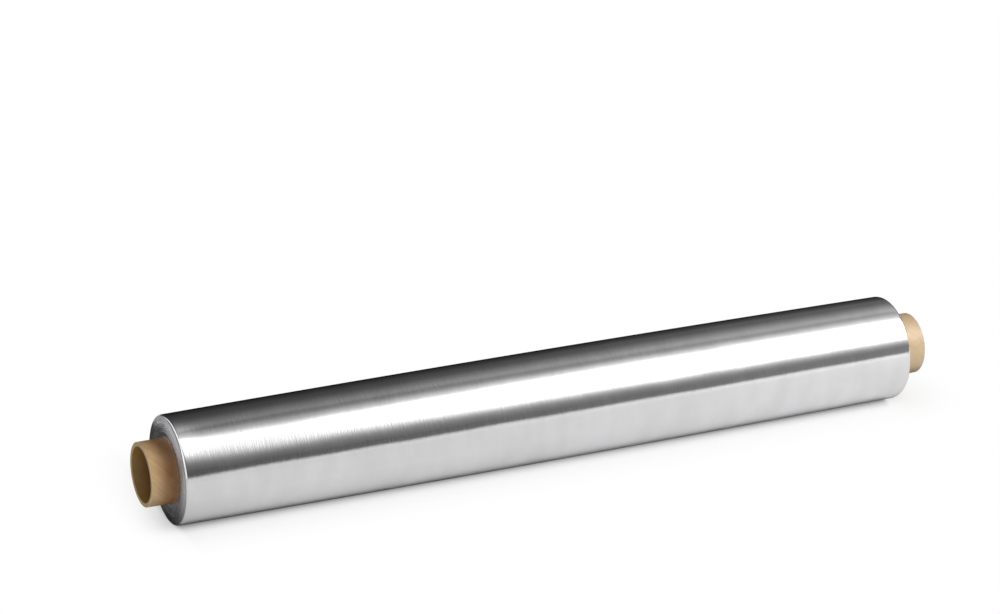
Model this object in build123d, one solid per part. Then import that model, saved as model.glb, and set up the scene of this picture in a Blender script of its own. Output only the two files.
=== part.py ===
from build123d import *
from itertools import pairwise
import math
import os

# Aluminium foil roll: a long sheet of foil wound on a spiral-wound paper core that stands out at both ends.
# The roll lies along X on the plane Z = 0, with the origin under the middle of the core.
# Angles about the core's axis are in degrees: 0 points to the back (+Y), 90 up and 180 to the front.
# A coil's turns are half circles about two centres in turn, a quarter of the pitch to each side of the axis.

# The winding of foil, in millimetres.
FOIL_WIDTH = 450.0  # width of the sheet, which is the length of the winding
WINDING_DIAMETER = 63.2  # over the foil, at the middle of its length
CROWN = 1.0  # how far the winding's radius falls from its middle to each end
SHOULDER_DROP = 1.3  # how far the outer turns roll off towards each end of the winding
SHOULDER_RUN = 1.8  # the length over which they do
FLAT_DEPTH = 0.6  # how far the foil is pressed flat where the roll rests
TAIL_STEP = 0.3  # height of the sheet's free edge over the turn below it
TAIL_ANGLE = 12.0  # where that free edge lies, at the back of the roll
WINDING_CLEARANCE = 0.02  # between the core and the first turn

# The turns that show on both ends of the winding, as the shadow line between them.
TURN_PITCH = 1.1  # from one visible turn to the next
TURN_LINE_WIDTH = 0.28
TURN_LINE_DEPTH = 0.3
FIRST_TURN = 0.9  # foil between the core and the start of the line
LAST_TURN = 0.9  # foil between the end of the line and the shoulder

# The paper core.
CORE_BORE = 31.0  # inside diameter
CORE_WALL = 2.4
STUB_LEFT = 15.0  # bare core outside the foil at the left end
STUB_RIGHT = 17.5  # bare core outside the foil at the right end
CORE_EDGE = 0.35  # bevel of the cut edges of the paper
PLY_WIDTH = 75.0  # width of the paper strip that makes the outer ply
PLY_THICKNESS = 0.3
SEAM_GAP = 0.5  # between the edges of that strip, all along the core
SEAM_START = 18.0  # where that joint starts, at the left end of the core

# What follows from those sizes.
CORE_RADIUS = CORE_BORE / 2 + CORE_WALL
CORE_LENGTH = STUB_LEFT + FOIL_WIDTH + STUB_RIGHT
CORE_LEFT = -CORE_LENGTH / 2
FOIL_LEFT = CORE_LEFT + STUB_LEFT
FOIL_RIGHT = FOIL_LEFT + FOIL_WIDTH
FOIL_MIDDLE = (FOIL_LEFT + FOIL_RIGHT) / 2
WINDING_BORE_RADIUS = CORE_RADIUS + WINDING_CLEARANCE
FLAT_SECTOR_MARGIN = 1.4  # how much wider than the flat the sector that takes it is

UP, HALF_TURN, DOWN, FULL_TURN = 90.0, 180.0, 270.0, 360.0  # angles in degrees


def half_turn(start_radius, pitch, number):
    """Centre and radius of one half turn of a coil that starts at the tail's angle, counted from 0."""
    side = -1 if number % 2 == 0 else 1
    tail = math.radians(TAIL_ANGLE)
    offset = side * pitch / 4
    centre = Vector(0, offset * math.cos(tail), offset * math.sin(tail))
    return centre, start_radius + number * pitch / 2


# The last lap of foil is a coil of two half turns, as far apart at the tail as the free edge is high.
LAP_RADIUS = WINDING_DIAMETER / 2 - TAIL_STEP / 4


def height_of_axis():
    """Height of the core's axis over the plane that the roll rests on."""
    lowest = 0 if (DOWN - TAIL_ANGLE) % FULL_TURN < HALF_TURN else 1
    centre, radius = half_turn(LAP_RADIUS, TAIL_STEP, lowest)
    return radius - centre.Z - FLAT_DEPTH


AXIS_HEIGHT = height_of_axis()


def winding_section(radius):
    """Half of the winding's long section: flat ends, rolled-off shoulders and a crowned face."""
    edge = radius - CROWN
    rim = edge - SHOULDER_DROP
    left, right = FOIL_LEFT + SHOULDER_RUN, FOIL_RIGHT - SHOULDER_RUN
    outline = [
        Line((FOIL_LEFT, 0), (FOIL_LEFT, rim)),
        Bezier((FOIL_LEFT, rim), (FOIL_LEFT, edge), (left, edge)),
        ThreePointArc((left, edge), (FOIL_MIDDLE, radius), (right, edge)),
        Bezier((right, edge), (FOIL_RIGHT, edge), (FOIL_RIGHT, rim)),
        Line((FOIL_RIGHT, rim), (FOIL_RIGHT, 0)),
        Line((FOIL_RIGHT, 0), (FOIL_LEFT, 0)),
    ]
    return Plane.XZ * make_face(outline)


def sector_bounds():
    """Angles between which the winding is swept: two half turns, and a narrow sector for the flat."""
    pressed = math.degrees(math.acos(1 - FLAT_DEPTH / (WINDING_DIAMETER / 2)))
    bounds = [TAIL_ANGLE, TAIL_ANGLE + HALF_TURN, TAIL_ANGLE + FULL_TURN]
    for side in (-1, 1):
        beside_flat = DOWN + side * pressed * FLAT_SECTOR_MARGIN
        bounds.append(TAIL_ANGLE + (beside_flat - TAIL_ANGLE) % FULL_TURN)
    return sorted(bounds)


def winding_sector(first_angle, last_angle):
    """The wound foil between two angles, out to its last lap."""
    number = int((first_angle - TAIL_ANGLE) // HALF_TURN)
    centre, radius = half_turn(LAP_RADIUS, TAIL_STEP, number)
    sector = revolve(winding_section(radius), Axis.X, last_angle - first_angle)
    return Pos(centre) * Rot(first_angle - UP, 0, 0) * sector


def coil_edge(start_radius, turns_in_halves):
    """The half circles of a coil, drawn in the plane across the core."""
    arcs = []
    for number in range(turns_in_halves):
        centre, radius = half_turn(start_radius, TURN_PITCH, number)
        first_angle = TAIL_ANGLE + number * HALF_TURN
        arcs.append(CenterArc((centre.Y, centre.Z), radius, first_angle % FULL_TURN, HALF_TURN))
    return arcs


def turn_line():
    """The long spiral line between the turns, as a flat ribbon."""
    start = WINDING_BORE_RADIUS + FIRST_TURN
    room = WINDING_DIAMETER / 2 - CROWN - SHOULDER_DROP - LAST_TURN - TURN_LINE_WIDTH - start
    halves = max(1, int(room / (TURN_PITCH / 2)))
    inner = coil_edge(start, halves)
    outer = coil_edge(start + TURN_LINE_WIDTH, halves)
    ends = [Line(inner[0] @ 0, outer[0] @ 0), Line(inner[-1] @ 1, outer[-1] @ 1)]
    return make_face(inner + outer + ends)


def foil_winding():
    """The wound foil as one solid, with its turns, its free edge and the flat that it rests on."""
    bounds = sector_bounds()
    solid = Part() + [winding_sector(first, last) for first, last in pairwise(bounds)]
    solid -= Pos(FOIL_MIDDLE, 0, 0) * Rot(0, 90, 0) * Cylinder(WINDING_BORE_RADIUS, 2 * FOIL_WIDTH)
    ribbon = Plane.YZ * turn_line()
    for end_face, inwards in ((FOIL_LEFT, 1), (FOIL_RIGHT, -1)):
        solid -= extrude(Pos(end_face, 0, 0) * ribbon, amount=inwards * TURN_LINE_DEPTH)
    below = Box(2 * FOIL_WIDTH, 2 * WINDING_DIAMETER, 2 * WINDING_DIAMETER)
    solid -= Pos(FOIL_MIDDLE, 0, -AXIS_HEIGHT - WINDING_DIAMETER) * below
    return Pos(0, 0, AXIS_HEIGHT) * solid


def ply_seam():
    """The open joint of the outer ply, which winds along the core at the slope that its width gives."""
    girth = 2 * math.pi * CORE_RADIUS
    pitch = PLY_WIDTH * girth / math.sqrt(girth**2 - PLY_WIDTH**2)
    line = Helix(pitch, CORE_LENGTH + 2 * SEAM_GAP, CORE_RADIUS)
    start = Plane(origin=line @ 0, x_dir=(1, 0, 0), z_dir=line % 0)
    cut = sweep(start * Rectangle(2 * PLY_THICKNESS, SEAM_GAP), path=line, is_frenet=True)
    return Pos(CORE_LEFT - SEAM_GAP, 0, 0) * Rot(SEAM_START - DOWN, 0, 0) * Rot(0, 90, 0) * cut


def cardboard_core():
    """The paper tube, with bevelled cut edges and the seam of its outer ply."""
    section = Pos(0, CORE_BORE / 2 + CORE_WALL / 2) * Rectangle(CORE_LENGTH, CORE_WALL)
    section = Plane.XZ * chamfer(section.vertices(), CORE_EDGE)
    tube = revolve(section, Axis.X)
    return Pos(0, 0, AXIS_HEIGHT) * (tube - ply_seam())


os.makedirs("parts", exist_ok=True)
export_step(foil_winding(), "parts/foil_winding.step")
export_step(cardboard_core(), "parts/cardboard_core.step")
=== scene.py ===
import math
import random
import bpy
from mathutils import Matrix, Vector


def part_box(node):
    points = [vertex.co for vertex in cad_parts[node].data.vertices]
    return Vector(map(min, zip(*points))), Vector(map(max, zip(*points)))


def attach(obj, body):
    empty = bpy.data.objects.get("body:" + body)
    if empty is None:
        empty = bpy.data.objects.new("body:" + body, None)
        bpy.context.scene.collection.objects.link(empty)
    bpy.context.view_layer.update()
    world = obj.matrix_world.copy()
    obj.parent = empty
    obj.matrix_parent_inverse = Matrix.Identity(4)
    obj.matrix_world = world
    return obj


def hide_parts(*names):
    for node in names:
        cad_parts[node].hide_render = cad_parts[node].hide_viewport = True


bl_info = {
    "name": "Foil Roll",
    "version": (1, 0, 0),
    "blender": (4, 5, 0),
    "location": "View3D > Sidebar > Foil Roll",
    "description": "Dresses a roll of aluminium foil on its paper core, and sets up a plain studio",
    "category": "Mesh",
}

import bpy
from bpy.props import FloatProperty, FloatVectorProperty, IntProperty, PointerProperty
from mathutils import Vector

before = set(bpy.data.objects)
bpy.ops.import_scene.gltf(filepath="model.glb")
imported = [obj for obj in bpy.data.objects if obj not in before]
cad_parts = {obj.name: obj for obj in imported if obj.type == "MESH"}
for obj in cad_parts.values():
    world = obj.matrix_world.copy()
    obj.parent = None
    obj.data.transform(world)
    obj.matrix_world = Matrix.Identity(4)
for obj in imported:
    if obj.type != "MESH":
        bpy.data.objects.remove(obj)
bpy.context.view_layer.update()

MM = 0.001
HALF_TURN, FULL_TURN = 180.0, 360.0  # in degrees
UPRIGHT = math.radians(90)
MERGE_DISTANCE = 0.001 * MM  # vertices nearer than this are one

# Angles about the core are in degrees: 0 is the back, 90 the top and 180 the front.

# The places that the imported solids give.
WINDING_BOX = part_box("foil_winding")
CORE_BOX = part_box("cardboard_core")
FOIL_LEFT, FOIL_RIGHT = WINDING_BOX[0][0], WINDING_BOX[1][0]
CORE_LEFT, CORE_RIGHT = CORE_BOX[0][0], CORE_BOX[1][0]
CORE_RADIUS = (CORE_BOX[1][1] - CORE_BOX[0][1]) / 2
AXIS_HEIGHT = (CORE_BOX[0][2] + CORE_BOX[1][2]) / 2
AXIS = Vector((0, 0, AXIS_HEIGHT))

# How finely the pieces are divided.
WINDING_STEPS, LAP_STEPS, CORE_STEPS = 256, 128, 192  # in a spin
FACE_STEPS = 36  # along the crowned face
SHOULDER_STEPS, LAP_SHOULDER_STEPS = 9, 6  # along one rolled-off shoulder
FOIL_CREASE, BOARD_CREASE = 60, 35  # degrees; what bends more than this stays sharp

# The winding and its last lap.
CORE_CLEARANCE = 0.03 * MM  # between the core and the first turn
LAP_CLEARANCE = 0.03 * MM  # between the winding and its last lap
UNDER_LAP_HEIGHT = 0.1 * MM  # height of the winding's own flat, over the lap's
FIRST_BUNDLE = 0.6 * MM  # foil between the core and the first open line
BUNDLE_WIDTH_MM = (0.75, 1.5)  # from one open line to the next
LINE_SHARE, RIPPLE_SHARE = (0.5, 1.0), (0.0, 0.3)  # of the gap depth, in a line and elsewhere
PITCH_SHARE = (0.85, 1.15)  # of the ring pitch
ENDS_OVER_RIM = 0.9 * MM  # how far up the shoulder the finish of the cut ends goes
ENDS_LOWEST = 0.2 * MM  # and how far down
LAP_EDGE_START = 0.22  # where on the shoulder the lap ends
LIFT_ANGLE, LIFT_SPREAD = 120.0, 45.0  # where the lap's left edge stands off, and how far round
LIFT_RUN, LIFT_SHARE = 9 * MM, 0.62  # how far in the lift goes, and its share of the whole
LIP_RUN, LIP_SHARE = 2.2 * MM, 0.38  # the same for the sharper lip

# The cut ends' finish: the radii between which they turn outwards, and those of the painted shade in the gap
# under the last lap.
DISH_INNER, DISH_OUTER, DISH_DEPTH = 23.5 * MM, 33.0 * MM, 2.4 * MM
GAP_INNER, GAP_OUTER, GAP_SHADE = 29.35 * MM, 29.65 * MM, 0.08

# The board's painted light and shade: paler towards the right end, where more light falls, and a painted
# shade, darker and redder, next to the left end of the foil.
RIGHT_END_LIGHT_COLOUR, RIGHT_END_LIGHT_SHARE = (0.42, 0.38, 0.3, 1), 0.4
FOIL_SHADE_COLOUR = (0.54, 0.34, 0.13, 1)
FOIL_SHADE_STOPS = [(0.08, 0.0), (0.2, 0.4), (0.3, 0.8), (0.42, 1.0), (1.0, 0.0)]

# The white floor, as (distance from the roll in metres, share of white).
FLOOR_FRONT_STOPS = [
    (0.0, 0.1), (0.006, 0.16), (0.009, 0.38), (0.011, 0.45), (0.0154, 0.6), (0.02, 0.68),
    (0.0244, 0.73), (0.03, 0.81), (0.036, 0.9), (0.044, 0.965), (0.052, 1.0),
]
FLOOR_LEFT_STOPS = [
    (0.0, 0.0), (0.001, 0.35), (0.003, 0.5), (0.007, 0.6), (0.01, 0.73), (0.014, 0.83),
    (0.019, 0.93), (0.027, 1.0),
]
FLOOR_LEFT_END, FLOOR_RIGHT_END = -0.222, 0.224  # where the roll's shadow ends on the floor
FLOOR_BEHIND = 0.4  # distance behind the roll, as a share of the same in front

# The floor as the foil mirrors it, with a painted shadow near the roll, as (distance from the roll, share of
# its own brightness).
MIRRORED_LEFT = [
    (0.0, 0.1), (0.006, 0.18), (0.012, 0.39), (0.016, 0.63), (0.021, 0.75), (0.026, 0.83),
    (0.033, 0.89), (0.04, 0.925),
]
MIRRORED_RIGHT = [
    (0.0, 0.1), (0.006, 0.18), (0.012, 0.62), (0.016, 0.78), (0.021, 0.87), (0.026, 0.92),
    (0.033, 0.935), (0.04, 0.95),
]
MIRRORED_FAR = [(0.05, 0.97), (0.1, 1.0), (0.19, 0.97), (0.3, 0.91), (0.6, 0.8), (1.0, 0.75)]
MIRRORED_SIDES = (-0.15, 0.4)  # X at which the left stops give way to the right ones
# Painted light: the floor as the foil mirrors it is made lighter at the left.
LEFT_FLOOR_GAIN, LEFT_FLOOR_SIDES = 1.075, (-0.25, 0.0)  # how much lighter it is at the left

# The softbox, as the roll sees it, and its brightness from the lower edge, 0, to the upper, 1.
SOFTBOX_DISTANCE, SOFTBOX_LENGTH, SOFTBOX_X = 1.1, 2.4, 1.05
SOFTBOX_LOW, SOFTBOX_HIGH = 14.0, 92.0  # degrees up from the front
SOFTBOX_SIDES = (-0.4125, -0.1125)  # where on it the left stops give way to the right ones
SOFTBOX_MOST = 3.0
SOFTBOX_LEFT_STOPS = [
    (0.0, 0.115), (0.049, 0.118), (0.11, 0.14), (0.17, 0.18), (0.223, 0.24), (0.275, 0.34),
    (0.32, 0.46), (0.3687, 0.6), (0.4132, 0.73), (0.4568, 0.84), (0.503, 0.92),
    (0.5475, 1.0), (0.59, 1.2), (0.64, 1.6), (0.7, 1.2), (0.745, 0.9), (0.805, 0.63),
    (0.87, 0.385), (0.94, 0.29), (1.0, 0.27),
]
SOFTBOX_RIGHT_STOPS = [
    (0.0, 0.175), (0.1, 0.23), (0.158, 0.31), (0.219, 0.5), (0.262, 0.85), (0.31, 1.5),
    (0.4, 3.0), (0.745, 3.0), (0.815, 1.5), (0.87, 0.98), (0.945, 0.66), (1.0, 0.5),
]

# The floor.
FLOOR_SIZE, FLOOR_BACK = (9, 6.5, 1), (0, 1.75, 0)
FLOOR_HEIGHT = -0.02 * MM  # just under what the roll rests on

# The lamp, and two dark cards with their brightness from the lower edge, 0, to the upper, 1.
LAMP_PLACE, LAMP_SIZE = Vector((1.15, -1.2, 1.3)), 1.3
FLAG_PLACE, FLAG_SIZE = (-0.36, 0.05, 0.021), (0.3, 0.042, 1)
FLAG_STOPS = [(0.0, 0.02), (1.0, 0.06)]
CARD_PLACE, CARD_SIZE = (0.135, 0.13, 0.075), (0.67, 0.15, 1)
CARD_LEFT_STOPS = [(0.2, 0.0), (0.49, 0.018), (0.69, 0.032), (0.87, 0.045), (1.0, 0.06)]
CARD_RIGHT_STOPS = [(0.2, 0.0), (0.49, 0.034), (0.69, 0.064), (0.87, 0.11), (1.0, 0.16)]
CARD_SIDES = (-0.44, 0.43)  # where on it the left stops give way to the right ones

# The room's brightness from the horizon in front (0) over the top (0.5) to the horizon behind (1).
ROOM_STOPS = [
    (0.0, 0.52), (0.006, 0.52), (0.012, 0.12), (0.07, 0.125), (0.13, 0.2), (0.2, 0.35),
    (0.5, 0.35), (0.519, 0.33), (0.548, 0.235), (0.573, 0.19), (0.6, 0.27), (0.636, 0.25),
    (0.67, 0.19), (0.704, 0.145), (0.743, 0.1), (0.783, 0.075), (1.0, 0.04),
]
ROOM_SIDES, ROOM_LEVELS = (0.25, 0.6), (0.65, 1.85)  # factors on them, from left to right
WINDOW_SIDES, WINDOW_LEVEL = (-0.42, -0.2), 0.9  # a bright window far to the left

# The camera that the photo was taken with.
CAMERA_LENS, CAMERA_SENSOR, CAMERA_CLIP = 118.94, 36.0, 0.05
CAMERA_PLACE = (-0.7626, -1.5691, 0.7155)
CAMERA_FORWARD = Vector((0.399192, 0.85273, -0.337456))


class FOILROLL_PG_winding(bpy.types.PropertyGroup):
    """Sizes of the wound foil."""

    radius: FloatProperty(
        name="Radius",
        description="Of the winding under its last lap, at the middle of its length",
        default=31.34 * MM,
        unit="LENGTH",
    )
    crown: FloatProperty(
        name="Crown",
        description="How far the radius falls from the middle to each end",
        default=1.0 * MM,
        unit="LENGTH",
    )
    shoulder_drop: FloatProperty(
        name="Shoulder drop",
        description="How far the outer turns roll off at each end",
        default=1.3 * MM,
        unit="LENGTH",
    )
    shoulder_run: FloatProperty(
        name="Shoulder run",
        description="Length over which they roll off",
        default=1.8 * MM,
        unit="LENGTH",
    )
    ring_pitch: FloatProperty(
        name="Ring pitch",
        description="Width of one bundle of turns on the winding's ends",
        default=0.22 * MM,
        unit="LENGTH",
    )
    gap_depth: FloatProperty(
        name="Gap depth",
        description="Depth of the open lines between bundles of turns",
        default=0.26 * MM,
        unit="LENGTH",
    )
    seed: IntProperty(
        name="Seed", description="Picks the unevenness of the turns", default=7
    )


class FOILROLL_PG_lap(bpy.types.PropertyGroup):
    """Sizes of the last lap of foil."""

    step: FloatProperty(
        name="Step",
        description="Height of the free edge over the turn below it",
        default=0.3 * MM,
        unit="LENGTH",
    )
    tail_angle: FloatProperty(
        name="Tail angle",
        description="Where the free edge lies, in degrees up from the back",
        default=12.0,
    )
    thickness: FloatProperty(
        name="Thickness",
        description="Of the lap as it shows at its edges",
        default=0.06 * MM,
        unit="LENGTH",
    )
    flare: FloatProperty(
        name="Flare",
        description="How far the lap stands off the roll at the top of its left edge",
        default=1.35 * MM,
        unit="LENGTH",
    )


class FOILROLL_PG_core(bpy.types.PropertyGroup):
    """Sizes of the paper core."""

    bore_radius: FloatProperty(
        name="Bore radius",
        description="Inside radius of the core",
        default=15.5 * MM,
        unit="LENGTH",
    )
    edge: FloatProperty(
        name="Edge",
        description="Bevel of the cut edges",
        default=0.35 * MM,
        unit="LENGTH",
    )
    ply_width: FloatProperty(
        name="Ply width",
        description="Width of the outer paper strip",
        default=75.0 * MM,
        unit="LENGTH",
    )
    ply_thickness: FloatProperty(
        name="Ply thickness",
        description="Depth of the open joint between the strip's edges",
        default=0.3 * MM,
        unit="LENGTH",
    )
    seam_gap: FloatProperty(
        name="Seam gap",
        description="Width of that joint",
        default=0.5 * MM,
        unit="LENGTH",
    )
    seam_start: FloatProperty(
        name="Seam start",
        description="Where that joint starts at the left end, in degrees up from the back",
        default=18.0,
    )


class FOILROLL_PG_finish(bpy.types.PropertyGroup):
    """Colours of the foil and the paper."""

    foil: FloatVectorProperty(
        name="Foil",
        description="Colour of the foil's bright side",
        subtype="COLOR",
        size=4,
        min=0,
        max=1,
        default=(0.90, 0.90, 0.91, 1),
    )
    # Partly painted reflection: the faint blue in this grey stands in for blue mirrored in the cut ends.
    foil_ends: FloatVectorProperty(
        name="Foil ends",
        description="Colour of the winding's cut ends",
        subtype="COLOR",
        size=4,
        min=0,
        max=1,
        default=(0.60, 0.60, 0.625, 1),
    )
    board: FloatVectorProperty(
        name="Board",
        description="Colour of the core's outside",
        subtype="COLOR",
        size=4,
        min=0,
        max=1,
        default=(0.66, 0.43, 0.21, 1),
    )
    board_edge: FloatVectorProperty(
        name="Board edge",
        description="Colour of the core's cut edges",
        subtype="COLOR",
        size=4,
        min=0,
        max=1,
        default=(0.76, 0.59, 0.36, 1),
    )
    board_bore: FloatVectorProperty(
        name="Board bore",
        description="Colour of the core's inside",
        subtype="COLOR",
        size=4,
        min=0,
        max=1,
        default=(0.44, 0.25, 0.055, 1),
    )


class FOILROLL_PG_studio(bpy.types.PropertyGroup):
    """Levels of the studio."""

    softbox: FloatProperty(
        name="Softbox", description="Brightness of the large softbox", default=1.0, min=0
    )
    lamp: FloatProperty(
        name="Lamp",
        description="Power of the lamp over the right end, in watts",
        default=40.0,
        min=0,
    )
    fill: FloatProperty(
        name="Fill", description="Brightness of the room for matt surfaces", default=0.26, min=0
    )
    floor: FloatVectorProperty(
        name="Floor",
        description="Colour of the floor",
        subtype="COLOR",
        size=4,
        min=0,
        max=1,
        default=(0.95, 0.95, 0.95, 1),
    )
    floor_in_metal: FloatVectorProperty(
        name="Floor in metal",
        description="Colour of the floor as other surfaces see it",
        subtype="COLOR",
        size=4,
        min=0,
        max=1,
        default=(0.865, 0.865, 0.865, 1),
    )


# Modelling by hand.


def deselect_all():
    """Leaves edit mode and selects nothing."""
    if bpy.context.object and bpy.context.object.mode != "OBJECT":
        bpy.ops.object.mode_set(mode="OBJECT")
    bpy.ops.object.select_all(action="DESELECT")


def make_active(piece):
    """Selects the piece alone, in object mode."""
    deselect_all()
    piece.select_set(True)
    bpy.context.view_layer.objects.active = piece


def draw_line(name, points, closed):
    """A line of edges through the points, drawn by extruding one vertex. Leaves it in edit mode."""
    deselect_all()
    bpy.ops.mesh.primitive_plane_add(size=MM, location=(0, 0, 0))
    piece = bpy.context.object
    piece.name = piece.data.name = name
    bpy.ops.object.mode_set(mode="EDIT")
    bpy.ops.mesh.select_all(action="SELECT")
    bpy.ops.mesh.merge(type="CENTER")
    bpy.ops.transform.translate(value=points[0])
    for here, there in zip(points, points[1:]):
        step = Vector(there) - Vector(here)
        bpy.ops.mesh.extrude_region_move(TRANSFORM_OT_translate={"value": step})
    if closed:
        bpy.ops.object.mode_set(mode="OBJECT")
        for vertex in piece.data.vertices:
            reach = min((vertex.co - Vector(end)).length for end in (points[0], points[-1]))
            vertex.select = reach < MERGE_DISTANCE
        bpy.ops.object.mode_set(mode="EDIT")
        bpy.ops.mesh.edge_face_add()
    bpy.ops.mesh.select_all(action="SELECT")
    return piece


def spin(centre, degrees, steps):
    """Sweeps the line about the core's axis, from the back over the top to the front."""
    angle = math.radians(degrees)
    bpy.ops.mesh.spin(steps=steps, angle=angle, center=centre, axis=(-1, 0, 0))


def close_up():
    """Merges what a spin left double, makes the faces agree and leaves edit mode."""
    bpy.ops.mesh.select_all(action="SELECT")
    bpy.ops.mesh.remove_doubles(threshold=MERGE_DISTANCE)
    bpy.ops.mesh.select_all(action="SELECT")
    bpy.ops.mesh.normals_make_consistent(inside=False)
    bpy.ops.object.mode_set(mode="OBJECT")


def press_flat(piece, height):
    """Presses what lies lower than the height up to it."""
    make_active(piece)
    for vertex in piece.data.vertices:
        vertex.select = vertex.co.z < height
    for part in list(piece.data.edges) + list(piece.data.polygons):
        part.select = False
    for edge in piece.data.edges:
        edge.select = all(piece.data.vertices[i].select for i in edge.vertices)
    bpy.ops.object.mode_set(mode="EDIT")
    bpy.ops.transform.resize(value=(1, 1, 0), center_override=(0, 0, height))
    bpy.ops.object.mode_set(mode="OBJECT")


def smooth(piece, degrees):
    """Shades the piece smooth, but for edges sharper than the angle."""
    make_active(piece)
    bpy.ops.object.shade_smooth_by_angle(angle=math.radians(degrees))


def eased(share):
    """A share from 0 to 1 that starts and ends gently."""
    share = min(max(share, 0), 1)
    return share * share * (3 - 2 * share)


def radius_at(place):
    """Distance from the core's axis."""
    return math.hypot(place.y, place.z - AXIS_HEIGHT)


def shoulder(outside, run, drop, steps, first=0.0):
    """Points of a rolled-off shoulder, from the end of the roll inwards: (distance in, radius)."""
    points = []
    for number in range(steps + 1):
        t = first + (1 - first) * number / steps
        along = run * t * t
        down = drop * (1 - t) ** 2
        points.append((along, outside - down))
    return points


def crowned(radius, crown, left, right, steps):
    """Points along the roll's crowned face, between its shoulders."""
    middle, half = (left + right) / 2, (right - left) / 2
    points = []
    for number in range(1, steps):
        along = left + (right - left) * number / steps
        points.append((along, radius - crown * ((along - middle) / half) ** 2))
    return points


def turn_relief(sizes, inner, outer, dice):
    """The uneven ends of the turns, from the core out: (depth, radius)."""
    points = []
    radius, next_line = inner, inner + FIRST_BUNDLE
    while radius < outer:
        if radius >= next_line:
            depth = sizes.gap_depth * dice.uniform(*LINE_SHARE)
            next_line = radius + dice.uniform(*BUNDLE_WIDTH_MM) * MM
        else:
            depth = dice.uniform(*RIPPLE_SHARE) * sizes.gap_depth
        points.append((depth, radius))
        radius += sizes.ring_pitch * dice.uniform(*PITCH_SHARE)
    return points


# Shader nodes and materials.


def add(nodes, kind, **values):
    """Adds a node. A name that is one of its inputs sets that input, any other a property."""
    node = nodes.new("ShaderNode" + kind)
    for name, value in values.items():
        label = name.replace("_", " ")
        if label in node.inputs:
            node.inputs[label].default_value = value
        else:
            setattr(node, name, value)
    return node


def new_group(name, inputs, outputs):
    """An empty shader node group with number and vector sockets."""
    group = bpy.data.node_groups.new(name, "ShaderNodeTree")
    for label, kind, value in inputs:
        socket = group.interface.new_socket(label, in_out="INPUT", socket_type=kind)
        if value is not None:
            socket.default_value = value
    for label, kind in outputs:
        group.interface.new_socket(label, in_out="OUTPUT", socket_type=kind)
    start = group.nodes.new("NodeGroupInput")
    end = group.nodes.new("NodeGroupOutput")
    return group, start, end


def maths(nodes, links, operation, first, second=None):
    """A Math node, fed with sockets or numbers."""
    node = nodes.new("ShaderNodeMath")
    node.operation = operation
    for socket, value in zip(node.inputs, (first, second)):
        if value is None:
            continue
        if isinstance(value, (int, float)):
            socket.default_value = value
        else:
            links.new(value, socket)
    return node.outputs[0]


def hypotenuse(nodes, links, first, second):
    """The distance that two sockets, at right angles to each other, add up to."""
    squares = [maths(nodes, links, "MULTIPLY", side, side) for side in (first, second)]
    return maths(nodes, links, "SQRT", maths(nodes, links, "ADD", *squares))


def ramp(nodes, links, factor, stops):
    """A Color Ramp with (position, grey or colour) stops."""
    node = nodes.new("ShaderNodeValToRGB")
    elements = node.color_ramp.elements
    while len(elements) > 1:
        elements.remove(elements[-1])
    for number, (position, colour) in enumerate(stops):
        if isinstance(colour, (int, float)):
            colour = (colour, colour, colour, 1)
        element = elements[0] if number == 0 else elements.new(position)
        element.position = position
        element.color = colour
    links.new(factor, node.inputs["Fac"])
    return node.outputs["Color"]


def scaled_noise(nodes, links, vector, scale, detail, roughness=0.5):
    """Noise on coordinates stretched by a scale for each axis, in waves per metre."""
    stretch = add(nodes, "Mapping", Scale=scale)
    links.new(vector, stretch.inputs["Vector"])
    noise = add(nodes, "TexNoise", Scale=1.0, Detail=detail, Roughness=roughness)
    links.new(stretch.outputs[0], noise.inputs["Vector"])
    return noise.outputs["Fac"]


def ring_lines_group():
    """Fine rings about the core's axis, for the ends of the turns and the plies."""
    group, start, end = new_group(
        "ring_lines",
        [
            ("Vector", "NodeSocketVector", None),
            ("Axis Height", "NodeSocketFloat", AXIS_HEIGHT),
            ("Rings per Metre", "NodeSocketFloat", 2500.0),
            ("Wander", "NodeSocketFloat", 1.0),
        ],
        [
            ("Rings", "NodeSocketFloat"),
            ("Patches", "NodeSocketFloat"),
            ("Radius", "NodeSocketFloat"),
        ],
    )
    nodes, links = group.nodes, group.links
    split = nodes.new("ShaderNodeSeparateXYZ")
    links.new(start.outputs["Vector"], split.inputs[0])
    rise = maths(nodes, links, "SUBTRACT", split.outputs["Z"], start.outputs["Axis Height"])
    radius = hypotenuse(nodes, links, split.outputs["Y"], rise)
    patches = scaled_noise(nodes, links, start.outputs["Vector"], (90, 90, 90), 2.0)
    place = maths(
        nodes,
        links,
        "ADD",
        maths(nodes, links, "MULTIPLY", radius, start.outputs["Rings per Metre"]),
        maths(nodes, links, "MULTIPLY", patches, start.outputs["Wander"]),
    )
    rings = add(nodes, "TexNoise", noise_dimensions="1D", Scale=1.0, Detail=3.0)
    links.new(place, rings.inputs["W"])
    links.new(rings.outputs["Fac"], end.inputs["Rings"])
    links.new(patches, end.inputs["Patches"])
    links.new(radius, end.inputs["Radius"])
    return group


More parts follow.
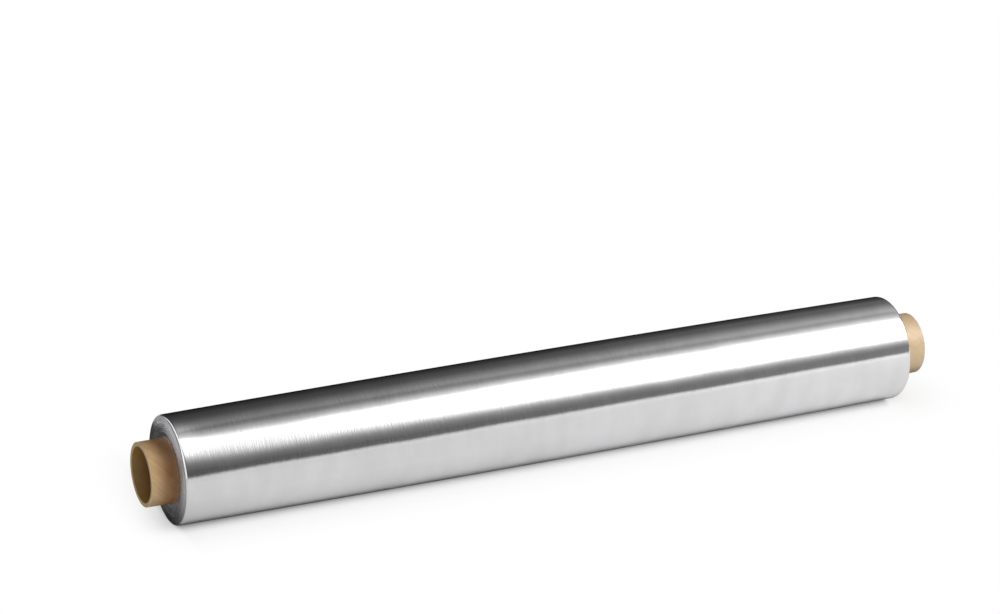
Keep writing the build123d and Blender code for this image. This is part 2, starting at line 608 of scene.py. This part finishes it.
def unwound_group():
    """Coordinates turned back along the core's plies, so that a grain follows them."""
    group, start, end = new_group(
        "unwound",
        [
            ("Vector", "NodeSocketVector", None),
            ("Axis Height", "NodeSocketFloat", AXIS_HEIGHT),
            ("Turn per Metre", "NodeSocketFloat", 1.0),
        ],
        [("Vector", "NodeSocketVector")],
    )
    nodes, links = group.nodes, group.links
    split = nodes.new("ShaderNodeSeparateXYZ")
    links.new(start.outputs["Vector"], split.inputs[0])
    angle = maths(nodes, links, "MULTIPLY", split.outputs["X"], start.outputs["Turn per Metre"])
    centre = nodes.new("ShaderNodeCombineXYZ")
    links.new(start.outputs["Axis Height"], centre.inputs["Z"])
    turn = add(nodes, "VectorRotate", rotation_type="X_AXIS")
    links.new(start.outputs["Vector"], turn.inputs["Vector"])
    links.new(centre.outputs[0], turn.inputs["Center"])
    links.new(angle, turn.inputs["Angle"])
    links.new(turn.outputs[0], end.inputs["Vector"])
    return group


def start_material(name, colour, metallic, roughness):
    """A material with its shader and its object coordinates."""
    material = bpy.data.materials.new(name)
    material.use_nodes = True
    material.diffuse_color = colour
    nodes, links = material.node_tree.nodes, material.node_tree.links
    shader = nodes["Principled BSDF"]
    shader.inputs["Base Color"].default_value = colour
    shader.inputs["Metallic"].default_value = metallic
    shader.inputs["Roughness"].default_value = roughness
    place = nodes.new("ShaderNodeTexCoord").outputs["Object"]
    return material, nodes, links, shader, place


def mixed(nodes, links, factor, first, second, blend_type="MIX"):
    """A colour between two. All three are values or sockets."""
    node = nodes.new("ShaderNodeMix")
    node.data_type, node.blend_type = "RGBA", blend_type
    sockets = (node.inputs["Factor"], node.inputs[6], node.inputs[7])
    for socket, value in zip(sockets, (factor, first, second)):
        if isinstance(value, bpy.types.NodeSocket):
            links.new(value, socket)
        else:
            socket.default_value = value
    return node.outputs[2]


def scaled(stops, most):
    """Stops with their brightness as a share of the most that one has, as a Color Ramp needs."""
    return [(position, level / most) for position, level in stops]


def smoothly(nodes, links, value, between, start, end):
    """A Map Range that eases from the start to the end between two values."""
    node = nodes.new("ShaderNodeMapRange")
    node.interpolation_type = "SMOOTHSTEP"
    numbers = {"From Min": between[0], "From Max": between[1], "To Min": start, "To Max": end}
    for label, number in numbers.items():
        node.inputs[label].default_value = number
    links.new(value, node.inputs["Value"])
    return node.outputs["Result"]


def shade(colour, factor):
    """A lighter or darker colour."""
    return tuple(channel * factor for channel in colour[:3]) + (1,)


def bumped(nodes, links, shader, layers):
    """Chains Bump nodes, each (height, depth in metres), into the shader's normal."""
    normal = None
    for height, depth in layers:
        bump = add(nodes, "Bump", Strength=1.0, Distance=depth)
        links.new(height, bump.inputs["Height"])
        if normal:
            links.new(normal, bump.inputs["Normal"])
        normal = bump.outputs[0]
    links.new(normal, shader.inputs["Normal"])


def foil_material(finish):
    """Bright rolled foil: fine rolling lines run round the roll, over a soft unevenness."""
    colour = tuple(finish.foil)
    material, nodes, links, shader, place = start_material("foil_bright", colour, 1.0, 0.16)
    lines = scaled_noise(nodes, links, place, (1900, 35, 35), 3.0, 0.65)
    flecks = scaled_noise(nodes, links, place, (900, 170, 170), 2.0)
    swells = scaled_noise(nodes, links, place, (22, 55, 55), 1.0)
    layers = [(swells, 0.2 * MM), (flecks, 0.04 * MM), (lines, 0.045 * MM)]
    bumped(nodes, links, shader, layers)
    mottle = scaled_noise(nodes, links, place, (75, 28, 28), 3.0)
    streaked = ramp(nodes, links, lines, [(0.3, shade(colour, 0.96)), (0.7, colour)])
    dull, bright = shade(colour, 0.93), shade(colour, 1.06)
    clouded = ramp(nodes, links, mottle, [(0.36, dull), (0.62, bright)])
    tone = mixed(nodes, links, 0.5, streaked, clouded)
    links.new(tone, shader.inputs["Base Color"])
    gloss = ramp(nodes, links, lines, [(0.3, 0.15), (0.7, 0.09)])
    links.new(gloss, shader.inputs["Roughness"])
    return material


def foil_ends_material(finish, rings):
    """The cut edges of thousands of turns, and a painted shade in the gap under the last lap."""
    colour = tuple(finish.foil_ends)
    material, nodes, links, shader, place = start_material("foil_ends", colour, 0.88, 0.26)
    turns = nodes.new("ShaderNodeGroup")
    turns.node_tree = rings
    turns.inputs["Rings per Metre"].default_value = 3200.0
    turns.inputs["Wander"].default_value = 0.6
    links.new(place, turns.inputs["Vector"])
    radius = turns.outputs["Radius"]
    dish = smoothly(nodes, links, radius, (DISH_INNER, DISH_OUTER), 1.0, 0.0)
    bumped(nodes, links, shader, [(dish, DISH_DEPTH), (turns.outputs["Rings"], 0.05 * MM)])
    stops = [(0.25, shade(colour, 0.5)), (0.5, colour), (0.75, shade(colour, 1.3))]
    tone = ramp(nodes, links, turns.outputs["Rings"], stops)
    # Painted shade: the gap under the last lap is darkened in the colour, where the lap shades it.
    gap_shade_mask = smoothly(nodes, links, radius, (GAP_INNER, GAP_OUTER), 0.0, 1.0)
    tone = mixed(nodes, links, gap_shade_mask, tone, shade(colour, GAP_SHADE))
    links.new(tone, shader.inputs["Base Color"])
    gloss = ramp(nodes, links, turns.outputs["Patches"], [(0.3, 0.32), (0.7, 0.2)])
    links.new(gloss, shader.inputs["Roughness"])
    return material


def board_material(name, colour, unwound, turn_per_metre, depth):
    """Brown board with fibres that follow the plies, with painted light towards the right end and painted
    shade about the foil's left end.
    """
    material, nodes, links, shader, place = start_material(name, colour, 0.0, 0.38)
    along = nodes.new("ShaderNodeGroup")
    along.node_tree = unwound
    along.inputs["Turn per Metre"].default_value = turn_per_metre
    links.new(place, along.inputs["Vector"])
    streaks = scaled_noise(nodes, links, along.outputs[0], (45, 950, 950), 4.0, 0.6)
    fibres = scaled_noise(nodes, links, along.outputs[0], (420, 2200, 2200), 2.0)
    blotches = scaled_noise(nodes, links, place, (160, 160, 160), 3.0)
    light, dark = shade(colour, 1.16), shade(colour, 0.8)
    tone = ramp(nodes, links, streaks, [(0.32, dark), (0.5, colour), (0.68, light)])
    pale, deep = shade(colour, 1.1), shade(colour, 0.85)
    blotched = ramp(nodes, links, blotches, [(0.35, deep), (0.65, pale)])
    tone = mixed(nodes, links, 0.35, tone, blotched)
    split = nodes.new("ShaderNodeSeparateXYZ")
    links.new(place, split.inputs[0])
    ends = (CORE_LEFT, CORE_RIGHT)
    # Painted light: the board turns paler towards the right end, where more light falls.
    painted_right_light = smoothly(nodes, links, split.outputs["X"], ends, 0.0, RIGHT_END_LIGHT_SHARE)
    tone = mixed(nodes, links, painted_right_light, tone, RIGHT_END_LIGHT_COLOUR)
    # Painted shade: darker and redder on the left stub next to the foil's end, where the foil shades it.
    from_left = maths(nodes, links, "SUBTRACT", split.outputs["X"], CORE_LEFT)
    in_stubs = maths(nodes, links, "DIVIDE", from_left, 2 * (FOIL_LEFT - CORE_LEFT))
    painted_foil_shade = ramp(nodes, links, in_stubs, FOIL_SHADE_STOPS)
    tone = mixed(nodes, links, painted_foil_shade, tone, FOIL_SHADE_COLOUR, "MULTIPLY")
    links.new(tone, shader.inputs["Base Color"])
    shader.inputs["Specular IOR Level"].default_value = 0.9
    bumped(nodes, links, shader, [(streaks, depth), (fibres, depth * 0.5)])
    return material


def board_edge_material(finish, rings):
    """The pale cut edges of the plies."""
    colour = tuple(finish.board_edge)
    material, nodes, links, shader, place = start_material("board_edge", colour, 0.0, 0.85)
    plies = nodes.new("ShaderNodeGroup")
    plies.node_tree = rings
    plies.inputs["Rings per Metre"].default_value = 2600.0
    plies.inputs["Wander"].default_value = 1.2
    links.new(place, plies.inputs["Vector"])
    stops = [(0.35, shade(colour, 0.7)), (0.5, colour), (0.7, shade(colour, 1.15))]
    tone = ramp(nodes, links, plies.outputs["Rings"], stops)
    links.new(tone, shader.inputs["Base Color"])
    shader.inputs["Specular IOR Level"].default_value = 0.3
    bumped(nodes, links, shader, [(plies.outputs["Rings"], 0.06 * MM)])
    return material


# The pieces.


class FOILROLL_OT_wind_foil(bpy.types.Operator):
    """Models the wound foil under its last lap"""

    bl_idname = "foilroll.wind_foil"
    bl_label = "Wind the foil"

    def execute(self, context):
        sizes = context.scene.foil_winding
        dice = random.Random(sizes.seed)
        inner = CORE_RADIUS + CORE_CLEARANCE
        end_radius = sizes.radius - sizes.crown
        rim = end_radius - sizes.shoulder_drop
        left, right = FOIL_LEFT + sizes.shoulder_run, FOIL_RIGHT - sizes.shoulder_run
        edge = shoulder(end_radius, sizes.shoulder_run, sizes.shoulder_drop, SHOULDER_STEPS)
        outline = [(FOIL_LEFT + depth, r) for depth, r in turn_relief(sizes, inner, rim, dice)]
        outline += [(FOIL_LEFT + along, r) for along, r in edge]
        outline += crowned(sizes.radius, sizes.crown, left, right, FACE_STEPS)
        outline += [(FOIL_RIGHT - along, r) for along, r in reversed(edge)]
        far_end = [(FOIL_RIGHT - depth, r) for depth, r in turn_relief(sizes, inner, rim, dice)]
        outline += reversed(far_end)
        points = [(x, 0, AXIS_HEIGHT + r) for x, r in outline]
        piece = draw_line("foil_turns", points, closed=True)
        spin(AXIS, FULL_TURN, WINDING_STEPS)
        close_up()
        press_flat(piece, UNDER_LAP_HEIGHT)
        finish = context.scene.foil_finish
        rings = bpy.data.node_groups.get("ring_lines") or ring_lines_group()
        piece.data.materials.append(foil_material(finish))
        piece.data.materials.append(foil_ends_material(finish, rings))
        for face in piece.data.polygons:
            within = radius_at(face.center) < rim + ENDS_OVER_RIM
            if within and face.center.z > ENDS_LOWEST:
                face.material_index = 1
        smooth(piece, FOIL_CREASE)
        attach(piece, "root")
        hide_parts("foil_winding")
        return {"FINISHED"}


class FOILROLL_OT_lay_last_lap(bpy.types.Operator):
    """Models the last lap of foil, from where it leaves the winding round to its free edge"""

    bl_idname = "foilroll.lay_last_lap"
    bl_label = "Lay the last lap"

    def execute(self, context):
        sizes, lap = context.scene.foil_winding, context.scene.foil_lap
        tail = math.radians(lap.tail_angle)
        out = Vector((0, math.cos(tail), math.sin(tail)))
        first_centre = AXIS - out * lap.step / 4
        second_centre = AXIS + out * lap.step / 4
        radius = sizes.radius + LAP_CLEARANCE + lap.step / 4
        end_radius = radius - sizes.crown
        run, drop = sizes.shoulder_run, sizes.shoulder_drop
        left, right = FOIL_LEFT + run, FOIL_RIGHT - run
        edge = shoulder(end_radius, run, drop, LAP_SHOULDER_STEPS, LAP_EDGE_START)
        outline = [(FOIL_LEFT + along, r) for along, r in edge]
        outline += crowned(radius, sizes.crown, left, right, FACE_STEPS)
        outline += [(FOIL_RIGHT - along, r) for along, r in reversed(edge)]
        points = [first_centre + out * r + Vector((x, 0, 0)) for x, r in outline]
        piece = draw_line("foil_last_lap", points, closed=False)
        spin(first_centre, HALF_TURN, LAP_STEPS)
        spin(second_centre, HALF_TURN, LAP_STEPS)
        close_up()
        outward = sum(face.normal.dot(face.center - AXIS) for face in piece.data.polygons)
        if outward < 0:
            make_active(piece)
            bpy.ops.object.mode_set(mode="EDIT")
            bpy.ops.mesh.select_all(action="SELECT")
            bpy.ops.mesh.flip_normals()
            bpy.ops.object.mode_set(mode="OBJECT")
        self.lift_left_edge(piece, lap)
        press_flat(piece, 0)
        make_active(piece)
        wall = piece.modifiers.new("wall", "SOLIDIFY")
        wall.thickness = lap.thickness
        wall.offset = -1
        bpy.ops.object.modifier_apply(modifier=wall.name)
        finish = context.scene.foil_finish
        bright = bpy.data.materials.get("foil_bright") or foil_material(finish)
        piece.data.materials.append(bright)
        smooth(piece, FOIL_CREASE)
        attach(piece, "root")
        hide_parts("foil_winding")
        return {"FINISHED"}

    def lift_left_edge(self, piece, lap):
        """Stands the lap off the roll at the top front of its left edge, most of all at the lip."""
        group_name = "flare"
        group = piece.vertex_groups.new(name=group_name)
        for vertex in piece.data.vertices:
            angle = math.degrees(math.atan2(vertex.co.z - AXIS_HEIGHT, vertex.co.y)) % FULL_TURN
            along = vertex.co.x - FOIL_LEFT
            about = eased(1 - abs(angle - LIFT_ANGLE) / LIFT_SPREAD)
            lift, lip = eased(1 - along / LIFT_RUN), eased(1 - along / LIP_RUN)
            weight = about * (LIFT_SHARE * lift + LIP_SHARE * lip)
            if weight > 0:
                group.add([vertex.index], weight, "REPLACE")
        make_active(piece)
        towards = math.radians(LIFT_ANGLE)
        # The first modifier applied replaces the mesh and its groups, so the second finds the group by name.
        for axis, share in (("Y", math.cos(towards)), ("Z", math.sin(towards))):
            push = piece.modifiers.new("push", "DISPLACE")
            push.direction = axis
            push.vertex_group = group_name
            push.mid_level = 0
            push.strength = lap.flare * share
            bpy.ops.object.modifier_apply(modifier=push.name)
        piece.vertex_groups.clear()


class FOILROLL_OT_make_core(bpy.types.Operator):
    """Models the spiral-wound paper core, with its cut edges and the open joint of its outer ply"""

    bl_idname = "foilroll.make_core"
    bl_label = "Make the core"

    def execute(self, context):
        sizes, finish = context.scene.foil_core, context.scene.foil_finish
        bore, wall, edge = sizes.bore_radius, CORE_RADIUS, sizes.edge
        round_off = 0.3 * edge
        corners = [
            (CORE_LEFT + edge, bore),
            (CORE_LEFT + round_off, bore + round_off),
            (CORE_LEFT, bore + edge),
            (CORE_LEFT, wall - edge),
            (CORE_LEFT + round_off, wall - round_off),
            (CORE_LEFT + edge, wall),
            (FOIL_LEFT, wall),
            (FOIL_RIGHT, wall),
            (CORE_RIGHT - edge, wall),
            (CORE_RIGHT - round_off, wall - round_off),
            (CORE_RIGHT, wall - edge),
            (CORE_RIGHT, bore + edge),
            (CORE_RIGHT - round_off, bore + round_off),
            (CORE_RIGHT - edge, bore),
        ]
        points = [(x, 0, AXIS_HEIGHT + r) for x, r in corners]
        piece = draw_line("core_tube", points, closed=True)
        spin(AXIS, FULL_TURN, CORE_STEPS)
        close_up()
        girth = 2 * math.pi * wall
        pitch = sizes.ply_width * girth / math.sqrt(girth**2 - sizes.ply_width**2)
        self.cut_joint(piece, sizes, pitch, girth)
        turn = 2 * math.pi / pitch
        unwound = unwound_group()
        rings = bpy.data.node_groups.get("ring_lines") or ring_lines_group()
        board = board_material("core_board", tuple(finish.board), unwound, -turn, 0.05 * MM)
        inside = board_material("core_bore", tuple(finish.board_bore), unwound, turn, 0.03 * MM)
        for material in (board, inside, board_edge_material(finish, rings)):
            piece.data.materials.append(material)
        outside, in_bore, at_cut = range(3)
        for face in piece.data.polygons:
            reach = abs(face.center.x - (CORE_LEFT + CORE_RIGHT) / 2)
            if reach > (CORE_RIGHT - CORE_LEFT) / 2 - 0.9 * edge:
                face.material_index = at_cut
            elif radius_at(face.center) > bore + edge:
                face.material_index = outside
            else:
                face.material_index = in_bore
        smooth(piece, BOARD_CREASE)
        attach(piece, "root")
        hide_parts("cardboard_core")
        return {"FINISHED"}

    def cut_joint(self, piece, sizes, pitch, girth):
        """Cuts the joint with a strip that winds along the core."""
        start = CORE_LEFT - sizes.seam_gap
        width = sizes.seam_gap * math.sqrt(1 + (pitch / girth) ** 2)
        low, high = CORE_RADIUS - sizes.ply_thickness, CORE_RADIUS + sizes.ply_thickness
        corners = [(-1, low), (-1, high), (1, high), (1, low)]
        angle = math.radians(sizes.seam_start)
        points = [
            (start + side * width / 2, r * math.cos(angle), r * math.sin(angle))
            for side, r in corners
        ]
        cutter = draw_line("joint_cutter", points, closed=True)
        bpy.ops.object.mode_set(mode="OBJECT")
        turns = (CORE_RIGHT - CORE_LEFT + 2 * sizes.seam_gap) / pitch
        make_active(cutter)
        winding = cutter.modifiers.new("winding", "SCREW")
        winding.axis = "X"
        winding.angle = 2 * math.pi * turns
        winding.screw_offset = pitch * turns
        winding.steps = winding.render_steps = int(CORE_STEPS * turns)
        bpy.ops.object.modifier_apply(modifier=winding.name)
        bpy.ops.object.mode_set(mode="EDIT")
        bpy.ops.mesh.select_all(action="SELECT")
        bpy.ops.transform.translate(value=AXIS)
        bpy.ops.mesh.select_all(action="DESELECT")
        bpy.ops.mesh.select_non_manifold()
        bpy.ops.mesh.fill_holes(sides=0)
        bpy.ops.mesh.select_all(action="SELECT")
        bpy.ops.mesh.normals_make_consistent(inside=False)
        bpy.ops.object.mode_set(mode="OBJECT")
        make_active(piece)
        cut = piece.modifiers.new("joint", "BOOLEAN")
        cut.operation = "DIFFERENCE"
        cut.solver = "EXACT"
        cut.object = cutter
        before = len(piece.data.polygons)
        bpy.ops.object.modifier_apply(modifier=cut.name)
        if len(piece.data.polygons) <= before:
            raise RuntimeError("the joint of the outer ply was not cut")
        bpy.data.objects.remove(cutter)


# The studio.


def stage_material(name):
    """A material with no more than its output."""
    material = bpy.data.materials.new(name)
    material.use_nodes = True
    material.node_tree.nodes.clear()
    nodes, links = material.node_tree.nodes, material.node_tree.links
    output = nodes.new("ShaderNodeOutputMaterial")
    return material, nodes, links, output


def floor_material(studio):
    """A pale matt floor that fades to the white of the background away from the roll; to all rays but the
    camera's it carries a painted shadow near the roll and painted light at the left.
    """
    material, nodes, links, output = stage_material("studio_floor")
    path = nodes.new("ShaderNodeLightPath")
    split = nodes.new("ShaderNodeSeparateXYZ")
    links.new(nodes.new("ShaderNodeTexCoord").outputs["Object"], split.inputs[0])
    # Painted light: lighter at the left end, for all rays but the camera's.
    side = smoothly(nodes, links, split.outputs["X"], LEFT_FLOOR_SIDES, 0.0, 1.0)
    dim = tuple(studio.floor_in_metal)
    in_metal = mixed(nodes, links, side, shade(dim, LEFT_FLOOR_GAIN), dim)
    matt = nodes.new("ShaderNodeBsdfDiffuse")
    white = add(nodes, "Emission", Strength=1.0)
    past_left = maths(nodes, links, "SUBTRACT", FLOOR_LEFT_END, split.outputs["X"])
    past_right = maths(nodes, links, "SUBTRACT", split.outputs["X"], FLOOR_RIGHT_END)
    front = maths(nodes, links, "MULTIPLY", split.outputs["Y"], -1.0)
    back = maths(nodes, links, "MULTIPLY", split.outputs["Y"], FLOOR_BEHIND)
    across = maths(nodes, links, "MAXIMUM", front, back)
    off_right = maths(nodes, links, "MAXIMUM", past_right, 0.0)
    away = hypotenuse(nodes, links, off_right, across)
    off_left = maths(nodes, links, "MAXIMUM", past_left, 0.0)
    near = hypotenuse(nodes, links, off_left, across)
    # Painted shadow: the floor darkens near the roll for all rays but the camera's, and dims again far from
    # it.
    left = ramp(nodes, links, near, MIRRORED_LEFT + MIRRORED_FAR)
    right = ramp(nodes, links, near, MIRRORED_RIGHT + MIRRORED_FAR)
    far_side = smoothly(nodes, links, split.outputs["X"], MIRRORED_SIDES, 0.0, 1.0)
    painted_floor_shadow = mixed(nodes, links, far_side, left, right)
    shaded = nodes.new("ShaderNodeVectorMath")
    shaded.operation = "MULTIPLY"
    links.new(in_metal, shaded.inputs[0])
    links.new(painted_floor_shadow, shaded.inputs[1])
    to_camera = path.outputs["Is Camera Ray"]
    colour = mixed(nodes, links, to_camera, shaded.outputs[0], tuple(studio.floor))
    links.new(colour, matt.inputs["Color"])
    white_front = ramp(nodes, links, away, FLOOR_FRONT_STOPS)
    white_left = ramp(nodes, links, past_left, FLOOR_LEFT_STOPS)
    shaded_front = maths(nodes, links, "SUBTRACT", 1.0, white_front)
    shaded_left = maths(nodes, links, "SUBTRACT", 1.0, white_left)
    both = maths(nodes, links, "MULTIPLY", shaded_front, shaded_left)
    fade = maths(nodes, links, "SUBTRACT", 1.0, both)
    fade = maths(nodes, links, "MULTIPLY", fade, to_camera)
    blend = nodes.new("ShaderNodeMixShader")
    links.new(fade, blend.inputs[0])
    links.new(matt.outputs[0], blend.inputs[1])
    links.new(white.outputs[0], blend.inputs[2])
    links.new(blend.outputs[0], output.inputs["Surface"])
    return material


def glow_material(name, strength, left_stops, right_stops, sides):
    """A light with stops of brightness up its left and right sides, and an eased change between."""
    material, nodes, links, output = stage_material(name)
    split = nodes.new("ShaderNodeSeparateXYZ")
    links.new(nodes.new("ShaderNodeTexCoord").outputs["Object"], split.inputs[0])
    height = maths(nodes, links, "ADD", split.outputs["Y"], 0.5)
    change = smoothly(nodes, links, split.outputs["X"], sides, 0.0, 1.0)
    left = ramp(nodes, links, height, left_stops)
    right = ramp(nodes, links, height, right_stops)
    level = mixed(nodes, links, change, left, right)
    glow = add(nodes, "Emission", Strength=strength)
    links.new(level, glow.inputs["Color"])
    links.new(glow.outputs[0], output.inputs["Surface"])
    return material


def show_only_to(piece, **rays):
    """Hides the piece from all rays but the named ones."""
    for ray in ("camera", "diffuse", "glossy", "transmission", "volume_scatter", "shadow"):
        setattr(piece, "visible_" + ray, rays.get(ray, False))


def stand_panel(name, size, tilt, place, material):
    """A flat panel, tilted up from lying on its back by an angle in radians."""
    deselect_all()
    bpy.ops.mesh.primitive_plane_add(size=1, location=(0, 0, 0))
    panel = bpy.context.object
    panel.name = panel.data.name = name
    panel.scale = size
    panel.rotation_euler = (tilt, 0, 0)
    panel.location = place
    panel.data.materials.append(material)
    return panel


class FOILROLL_OT_set_stage(bpy.types.Operator):
    """Sets up the floor, the softbox, the lamp, two dark cards, the room and the camera"""

    bl_idname = "foilroll.set_stage"
    bl_label = "Set the stage"

    def execute(self, context):
        studio = context.scene.foil_studio
        self.lay_floor(studio)
        self.hang_softbox(studio)
        self.hang_lamp(studio)
        self.stand_flag()
        self.stand_card()
        self.paint_room(context.scene, studio)
        self.place_camera(context.scene)
        return {"FINISHED"}

    def lay_floor(self, studio):
        """A large floor just under the roll."""
        deselect_all()
        bpy.ops.mesh.primitive_plane_add(size=1, location=(0, 0, FLOOR_HEIGHT))
        floor = bpy.context.object
        floor.name = floor.data.name = "studio_floor"
        bpy.ops.object.mode_set(mode="EDIT")
        bpy.ops.mesh.select_all(action="SELECT")
        bpy.ops.transform.resize(value=FLOOR_SIZE, center_override=(0, 0, 0))
        bpy.ops.transform.translate(value=FLOOR_BACK)
        bpy.ops.object.mode_set(mode="OBJECT")
        bpy.ops.object.transform_apply(location=True, rotation=True, scale=True)
        floor.data.materials.append(floor_material(studio))

    def hang_softbox(self, studio):
        """A long softbox over the front of the roll."""
        low, high = math.radians(SOFTBOX_LOW), math.radians(SOFTBOX_HIGH)
        middle = (low + high) / 2
        height = 2 * SOFTBOX_DISTANCE * math.tan((high - low) / 2)
        forwards = Vector((0, -math.cos(middle), math.sin(middle)))
        place = AXIS + Vector((SOFTBOX_X, 0, 0)) + SOFTBOX_DISTANCE * forwards
        strength = SOFTBOX_MOST * studio.softbox
        left_stops = scaled(SOFTBOX_LEFT_STOPS, SOFTBOX_MOST)
        right_stops = scaled(SOFTBOX_RIGHT_STOPS, SOFTBOX_MOST)
        name = "studio_softbox"
        glow = glow_material(name, strength, left_stops, right_stops, SOFTBOX_SIDES)
        size = (SOFTBOX_LENGTH, height, 1)
        softbox = stand_panel(name, size, UPRIGHT - middle, place, glow)
        show_only_to(softbox, glossy=True, transmission=True)

    def hang_lamp(self, studio):
        """A large lamp over the right end, which only matt surfaces take light from."""
        deselect_all()
        bpy.ops.object.light_add(type="AREA", location=LAMP_PLACE)
        lamp = bpy.context.object
        lamp.name = lamp.data.name = "studio_lamp"
        lamp.data.shape = "SQUARE"
        lamp.data.size = LAMP_SIZE
        lamp.data.energy = studio.lamp
        lamp.rotation_euler = (-LAMP_PLACE).to_track_quat("-Z", "Y").to_euler()
        show_only_to(lamp, diffuse=True)

    def stand_flag(self):
        """A low dark card behind the left end, which only the gloss of that end sees."""
        name = "studio_flag"
        glow = glow_material(name, 1.0, FLAG_STOPS, FLAG_STOPS, CARD_SIDES)
        flag = stand_panel(name, FLAG_SIZE, UPRIGHT, FLAG_PLACE, glow)
        show_only_to(flag, glossy=True)

    def stand_card(self):
        """A dark card close behind the roll, which only its gloss sees."""
        name = "studio_card"
        glow = glow_material(name, 1.0, CARD_LEFT_STOPS, CARD_RIGHT_STOPS, CARD_SIDES)
        card = stand_panel(name, CARD_SIZE, UPRIGHT, CARD_PLACE, glow)
        show_only_to(card, glossy=True)

    def paint_room(self, scene, studio):
        """White to the camera, an even fill for matt surfaces, and bands of light for gloss."""
        world = scene.world or bpy.data.worlds.new("studio_room")
        scene.world = world
        world.use_nodes = True
        nodes, links = world.node_tree.nodes, world.node_tree.links
        nodes.clear()
        output = nodes.new("ShaderNodeOutputWorld")
        path = nodes.new("ShaderNodeLightPath")
        split = nodes.new("ShaderNodeSeparateXYZ")
        links.new(nodes.new("ShaderNodeTexCoord").outputs["Generated"], split.inputs[0])
        front = maths(nodes, links, "MULTIPLY", split.outputs["Y"], -1.0)
        angle = maths(nodes, links, "ARCTAN2", split.outputs["Z"], front)
        turn = maths(nodes, links, "DIVIDE", angle, math.pi)
        bands = ramp(nodes, links, turn, ROOM_STOPS)
        side = smoothly(nodes, links, split.outputs["X"], ROOM_SIDES, *ROOM_LEVELS)
        tilted = nodes.new("ShaderNodeVectorMath")
        tilted.operation = "SCALE"
        links.new(bands, tilted.inputs[0])
        links.new(side, tilted.inputs["Scale"])
        window = smoothly(nodes, links, split.outputs["X"], WINDOW_SIDES, WINDOW_LEVEL, 0.0)
        lit = nodes.new("ShaderNodeVectorMath")
        links.new(tilted.outputs[0], lit.inputs[0])
        links.new(window, lit.inputs[1])
        fill = (studio.fill, studio.fill, studio.fill, 1)
        gloss = mixed(nodes, links, path.outputs["Is Glossy Ray"], fill, lit.outputs[0])
        colour = mixed(nodes, links, path.outputs["Is Camera Ray"], gloss, (1, 1, 1, 1))
        background = nodes.new("ShaderNodeBackground")
        links.new(colour, background.inputs["Color"])
        links.new(background.outputs[0], output.inputs["Surface"])

    def place_camera(self, scene):
        """Where the photo was taken from."""
        bpy.ops.object.camera_add()
        camera = bpy.context.object
        camera.name = camera.data.name = "studio_camera"
        camera.data.lens = CAMERA_LENS
        camera.data.sensor_width = CAMERA_SENSOR
        camera.data.clip_start = CAMERA_CLIP
        camera.location = CAMERA_PLACE
        camera.rotation_euler = CAMERA_FORWARD.to_track_quat("-Z", "Y").to_euler()
        scene.camera = camera
        scene.view_settings.view_transform = "Standard"


class FOILROLL_PT_panel(bpy.types.Panel):
    """Lists the steps that build the roll"""

    bl_label = "Foil Roll"
    bl_idname = "FOILROLL_PT_panel"
    bl_space_type = "VIEW_3D"
    bl_region_type = "UI"
    bl_category = "Foil Roll"

    def draw(self, context):
        for step in STEPS:
            self.layout.operator(step.bl_idname)
        for name in SETTINGS:
            group = getattr(context.scene, name)
            box = self.layout.box()
            for setting in group.bl_rna.properties:
                if setting.identifier not in ("rna_type", "name"):
                    box.prop(group, setting.identifier)


STEPS = (
    FOILROLL_OT_wind_foil,
    FOILROLL_OT_lay_last_lap,
    FOILROLL_OT_make_core,
    FOILROLL_OT_set_stage,
)
SETTINGS = {
    "foil_winding": FOILROLL_PG_winding,
    "foil_lap": FOILROLL_PG_lap,
    "foil_core": FOILROLL_PG_core,
    "foil_finish": FOILROLL_PG_finish,
    "foil_studio": FOILROLL_PG_studio,
}


def register():
    for kind in (*SETTINGS.values(), *STEPS, FOILROLL_PT_panel):
        bpy.utils.register_class(kind)
    for name, kind in SETTINGS.items():
        setattr(bpy.types.Scene, name, PointerProperty(type=kind))


def unregister():
    for name in SETTINGS:
        delattr(bpy.types.Scene, name)
    for kind in (FOILROLL_PT_panel, *STEPS, *SETTINGS.values()):
        bpy.utils.unregister_class(kind)


def main():
    register()
    bpy.ops.foilroll.wind_foil()
    bpy.ops.foilroll.lay_last_lap()
    bpy.ops.foilroll.make_core()
    bpy.ops.foilroll.set_stage()


if __name__ == "__main__":
    main()
